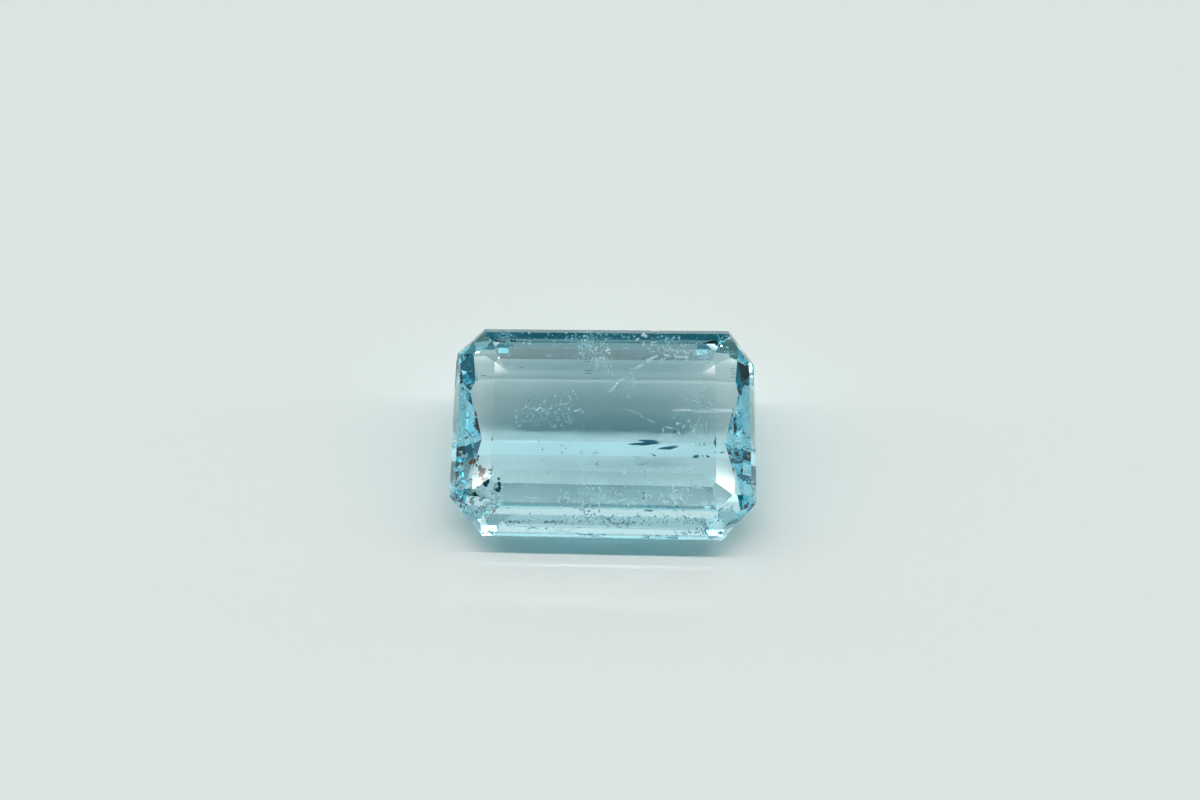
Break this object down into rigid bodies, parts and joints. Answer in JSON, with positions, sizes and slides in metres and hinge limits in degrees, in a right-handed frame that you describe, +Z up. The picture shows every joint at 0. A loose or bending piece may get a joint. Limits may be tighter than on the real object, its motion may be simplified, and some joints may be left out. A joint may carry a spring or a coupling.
{
  "type": "faceted aquamarine",
  "caption": "Pale blue transparent beryl, cut as a cut-cornered rectangle with stepped facets, lying on a broad lower facet.",
  "frame": {"origin": "centre of the bounding box, on the plane that the stone lies on", "axes": "+Z up from the surface it lies on; X along the stone's length; the table leans towards -Y"},
  "size_m": [0.022, 0.0146, 0.0094],
  "materials": {
    "aquamarine": "polished, transparent pale blue beryl with fine inclusions"
  },
  "bodies": {
    "root": {"aquamarine": "aquamarine"}
  },
  "joints": []
}
